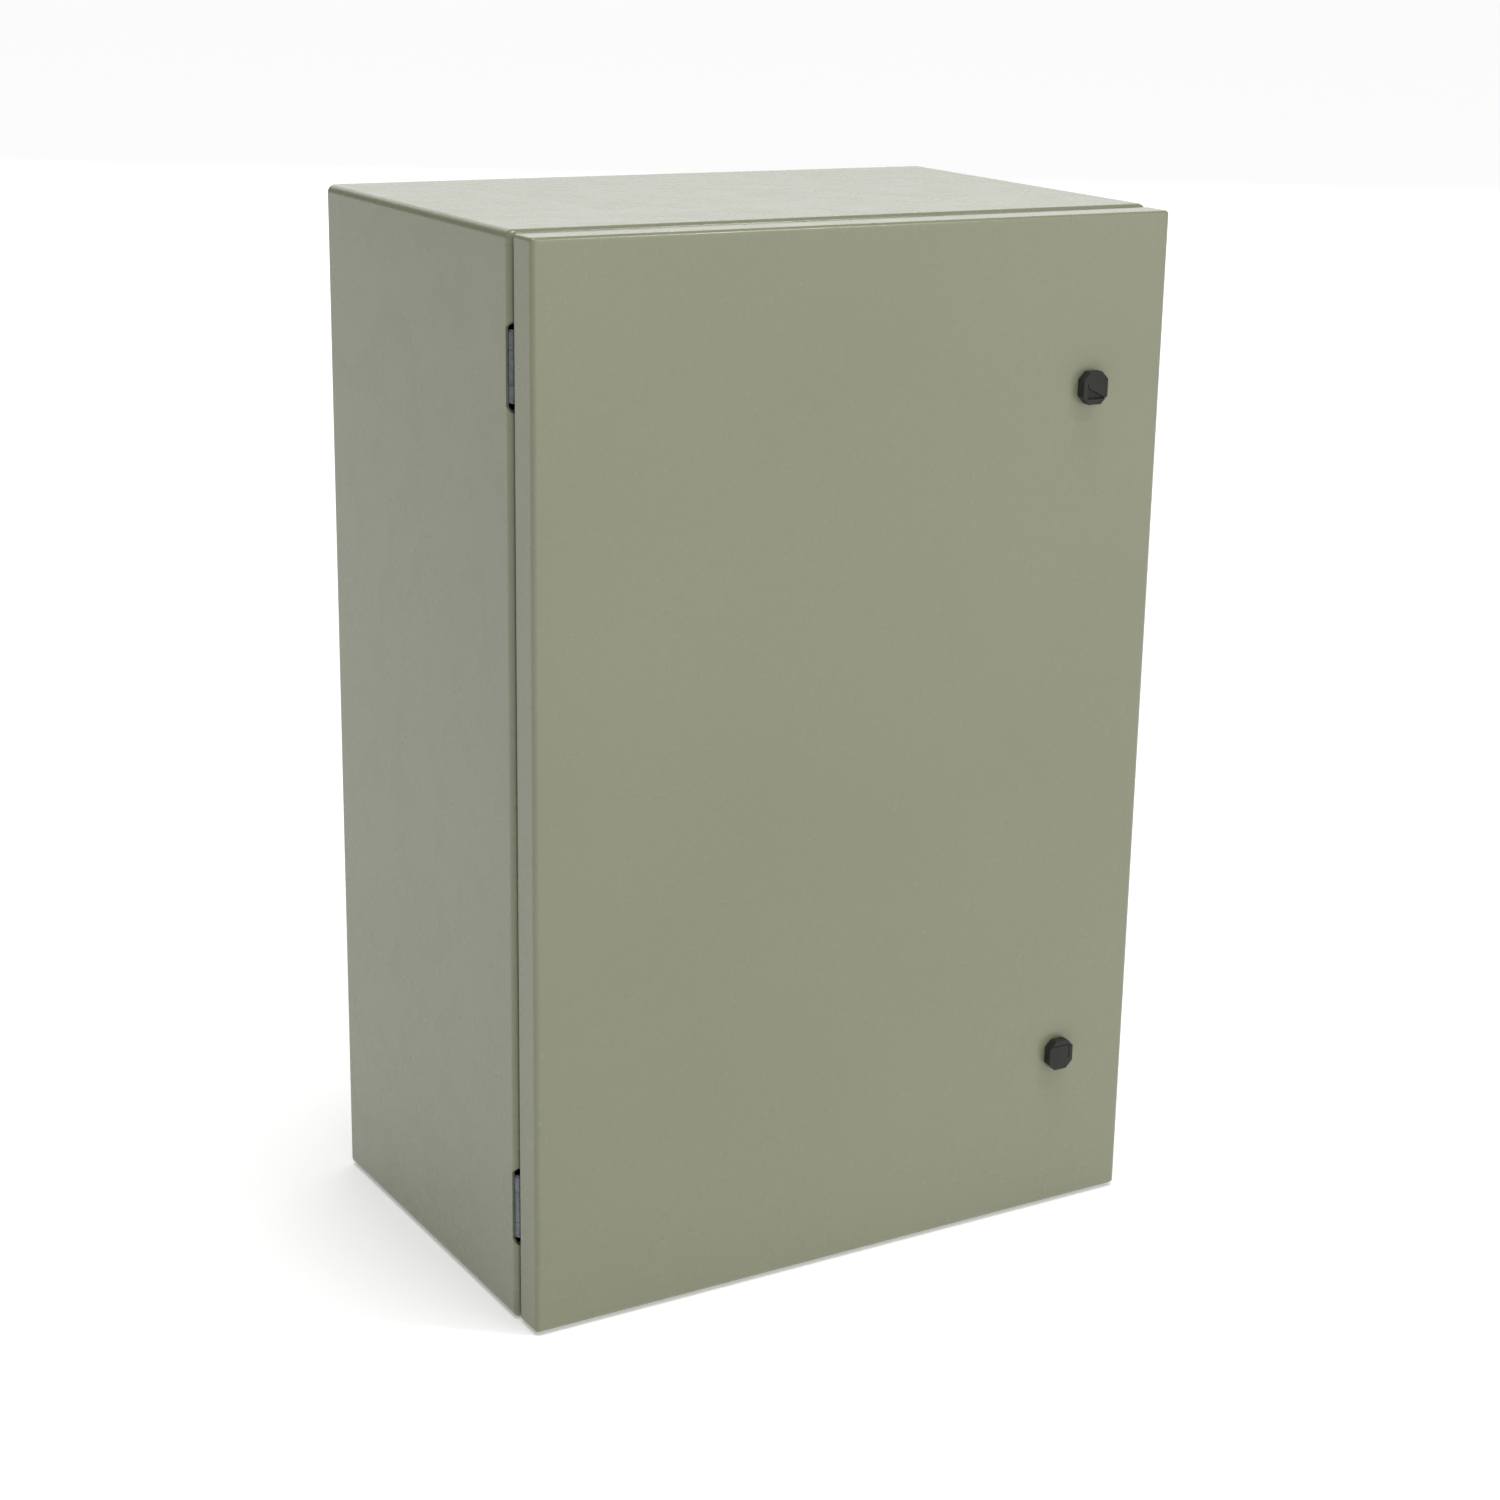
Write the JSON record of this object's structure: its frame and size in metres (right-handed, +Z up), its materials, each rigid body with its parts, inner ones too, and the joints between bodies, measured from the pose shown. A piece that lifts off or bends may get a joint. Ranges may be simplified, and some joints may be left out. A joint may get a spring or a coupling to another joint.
{
  "type": "wall-mounted switchboard cabinet",
  "caption": "Upright steel enclosure for electrical switchgear, with a blank hinged door, quarter-turn locks, foam-sealed rim, removable mounting plate and a cable-entry plate in its base.",
  "frame": {"origin": "middle of the cabinet's footprint, on the plane of its underside", "axes": "+Z up, +X to the right seen from the front, door faces -Y"},
  "size_m": [0.4, 0.261, 0.6],
  "materials": {
    "powder_coat": "semi-gloss orange-peel powder coat, pebble grey",
    "galvanised_sheet": "hot-dip galvanised sheet, faint spangle",
    "zinc_plated_steel": "bright zinc plate",
    "black_plastic": "fine-textured moulded polyamide",
    "foam_seal": "foamed polyurethane with a skin"
  },
  "bodies": {
    "cabinet": {"body_wrapper": "powder_coat", "rear_panel": "powder_coat", "mounting_plate": "galvanised_sheet", "mounting_plate_studs": "zinc_plated_steel", "mounting_plate_spacers": "zinc_plated_steel", "mounting_plate_washers": "zinc_plated_steel", "mounting_plate_nuts": "zinc_plated_steel", "gland_plate": "galvanised_sheet", "gland_plate_gasket": "foam_seal", "gland_plate_studs": "zinc_plated_steel", "gland_plate_washers": "zinc_plated_steel", "gland_plate_nuts": "zinc_plated_steel", "cabinet_earth_stud": "zinc_plated_steel", "cabinet_earth_washer": "zinc_plated_steel", "cabinet_earth_nut": "zinc_plated_steel", "upper_hinge_cabinet_leaf": "zinc_plated_steel", "lower_hinge_cabinet_leaf": "zinc_plated_steel", "upper_hinge_pin": "zinc_plated_steel", "lower_hinge_pin": "zinc_plated_steel"},
    "door": {"door_panel": "powder_coat", "door_gasket": "foam_seal", "hinge_side_rail": "galvanised_sheet", "lock_side_rail": "galvanised_sheet", "upper_hinge_door_leaf": "zinc_plated_steel", "lower_hinge_door_leaf": "zinc_plated_steel", "upper_lock_housing": "black_plastic", "upper_lock_seal": "foam_seal", "upper_lock_nut": "zinc_plated_steel", "upper_lock_cover_pin": "black_plastic", "lower_lock_housing": "black_plastic", "lower_lock_seal": "foam_seal", "lower_lock_nut": "zinc_plated_steel", "lower_lock_cover_pin": "black_plastic", "door_earth_stud": "zinc_plated_steel", "door_earth_washer": "zinc_plated_steel", "door_earth_nut": "zinc_plated_steel"},
    "upper_lock": {"upper_lock_rotor": "black_plastic", "upper_lock_cam": "zinc_plated_steel", "upper_lock_cam_screw": "zinc_plated_steel"},
    "lower_lock": {"lower_lock_rotor": "black_plastic", "lower_lock_cam": "zinc_plated_steel", "lower_lock_cam_screw": "zinc_plated_steel"},
    "upper_dust_cover": {"upper_lock_cover": "black_plastic"},
    "lower_dust_cover": {"lower_lock_cover": "black_plastic"}
  },
  "joints": [
    {"name": "door_swing", "type": "hinge", "parent": "cabinet", "child": "door", "pos_m": [-0.197, -0.1004, 0.3], "axis": [0, 0, -1], "range_deg": [0, 115]},
    {"name": "upper_lock_turn", "type": "hinge", "parent": "door", "child": "upper_lock", "pos_m": [0.148, -0.1245, 0.5025], "axis": [0, -1, 0], "range_deg": [0, 90]},
    {"name": "lower_lock_turn", "type": "hinge", "parent": "door", "child": "lower_lock", "pos_m": [0.148, -0.1245, 0.0995], "axis": [0, -1, 0], "range_deg": [0, 90]},
    {"name": "upper_dust_cover_swing", "type": "hinge", "parent": "door", "child": "upper_dust_cover", "pos_m": [0.1527, -0.1245, 0.5077], "axis": [0, 1, 0], "range_deg": [0, 120]},
    {"name": "lower_dust_cover_swing", "type": "hinge", "parent": "door", "child": "lower_dust_cover", "pos_m": [0.1433, -0.1245, 0.0943], "axis": [0, 1, 0], "range_deg": [0, 120]}
  ]
}
